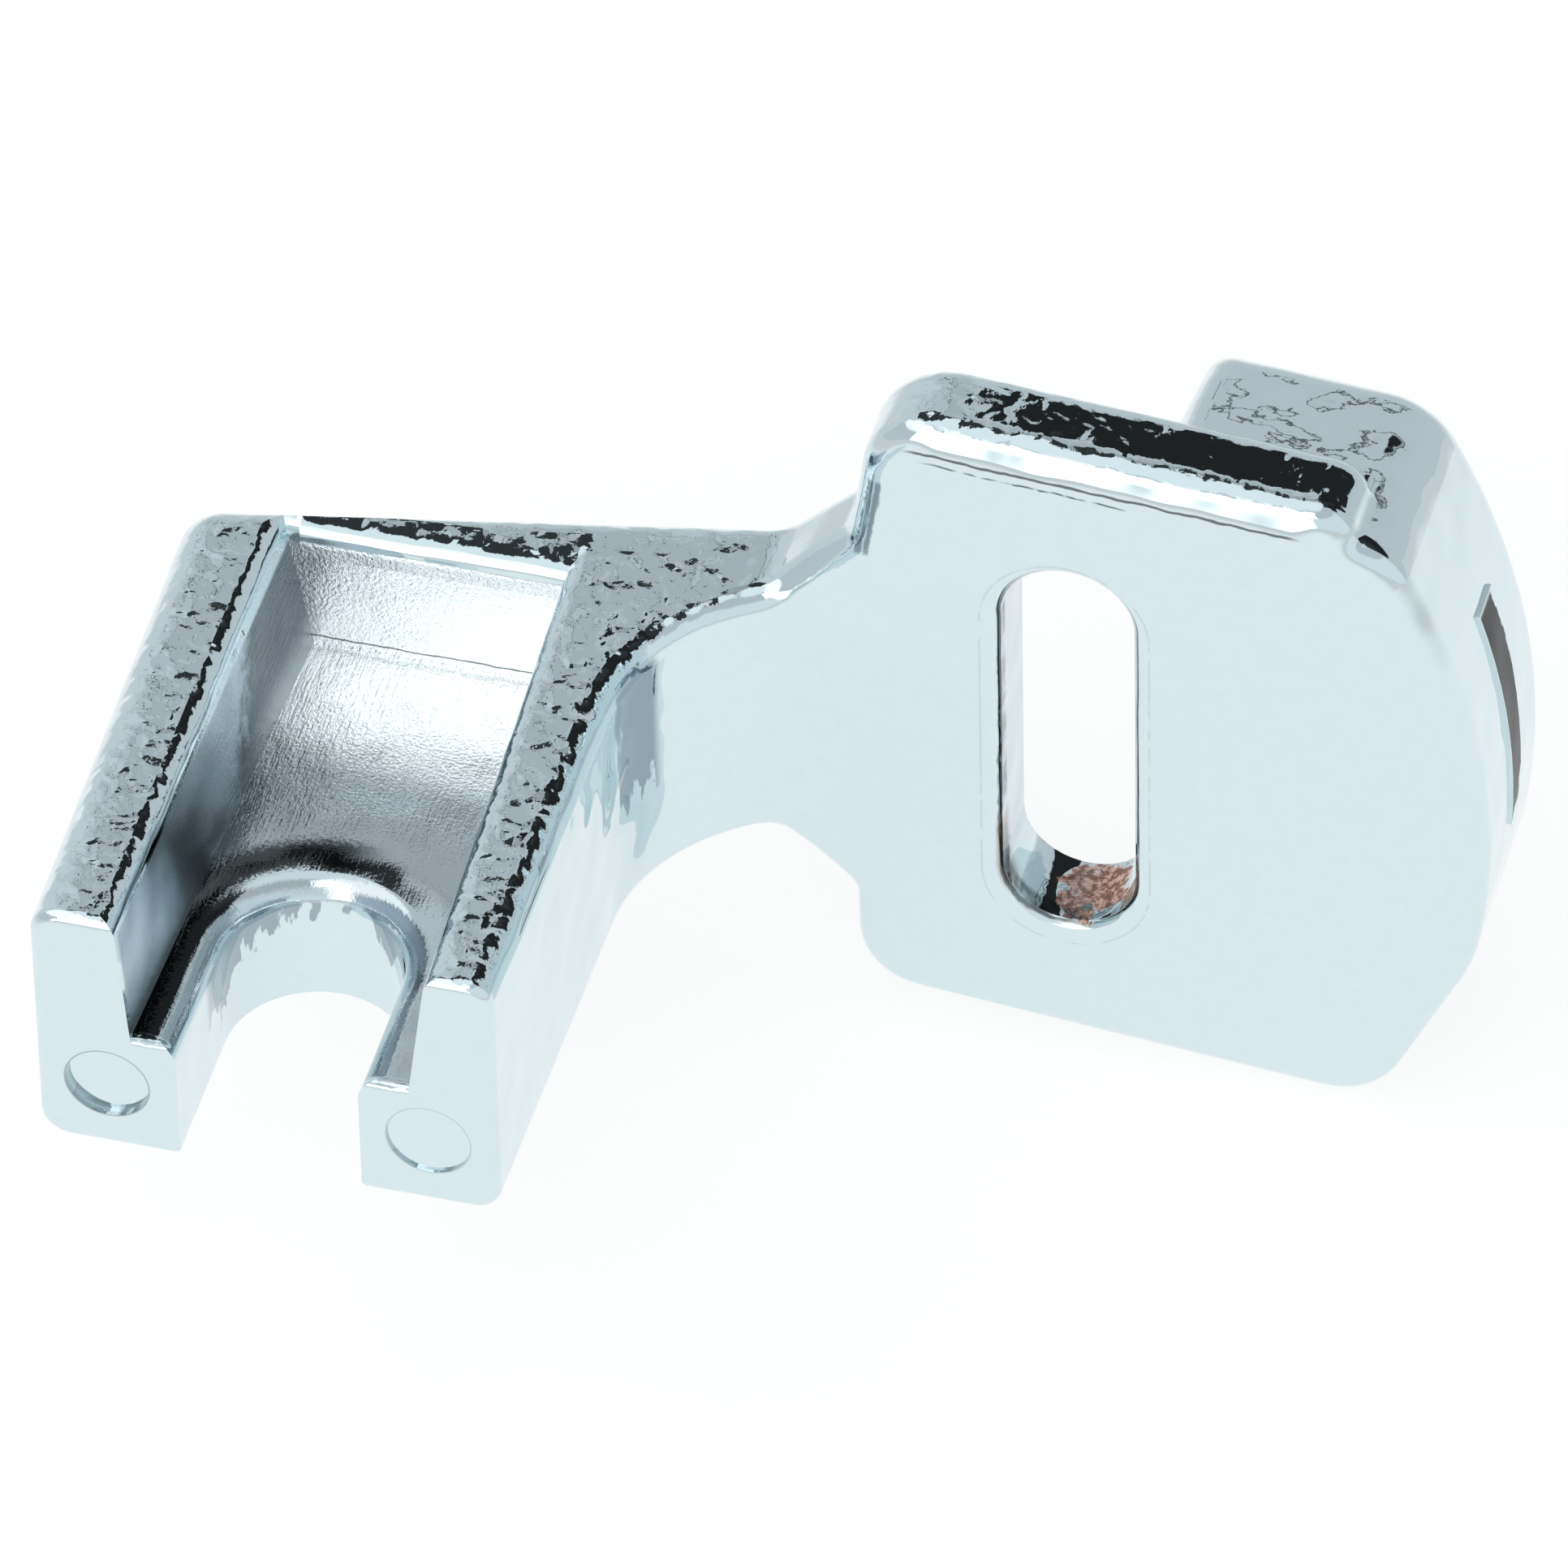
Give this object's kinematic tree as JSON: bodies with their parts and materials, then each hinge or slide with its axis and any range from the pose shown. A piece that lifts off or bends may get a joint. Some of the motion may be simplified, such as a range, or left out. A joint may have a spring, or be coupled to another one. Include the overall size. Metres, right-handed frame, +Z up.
{
  "type": "sewing machine presser foot",
  "caption": "Cast presser foot with an open pocket and needle notch in its toe block, and a slotted shank plate with a lip that hooks behind the presser bar.",
  "frame": {"origin": "centre of the screw slot, on the back face of the shank plate that seats on the presser bar", "axes": "+Z up along the presser bar, -Y to the open front of the pocket, +X from the toe block to the lip"},
  "size_m": [0.0387, 0.025, 0.024],
  "materials": {
    "chrome_plate": "bright plating with orange peel on the top faces"
  },
  "bodies": {
    "root": {"presser_foot": "chrome_plate"}
  },
  "joints": []
}
